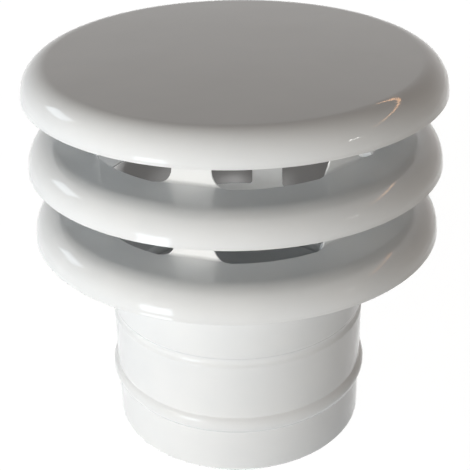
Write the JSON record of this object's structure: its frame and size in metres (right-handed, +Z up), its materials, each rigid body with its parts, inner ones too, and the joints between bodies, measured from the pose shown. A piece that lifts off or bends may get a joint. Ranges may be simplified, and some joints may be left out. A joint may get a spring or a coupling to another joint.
{
  "type": "chimney deflector cowl",
  "caption": "Static white enamelled steel flue terminal: a beaded socket tube carries a stack of upside-down dishes that let gas out sideways and keep rain and wind off the flue.",
  "frame": {"origin": "centre of the socket's mouth, on the axis, at the lowest point of the part", "axes": "+Z up the flue axis towards the cap, +X through one of the tabs of each ring"},
  "size_m": [0.172, 0.172, 0.1687],
  "materials": {
    "white_enamel": "gloss"
  },
  "bodies": {
    "root": {"cap": "white_enamel", "middle_ring": "white_enamel", "lower_ring": "white_enamel", "socket_tube": "white_enamel"}
  },
  "joints": []
}
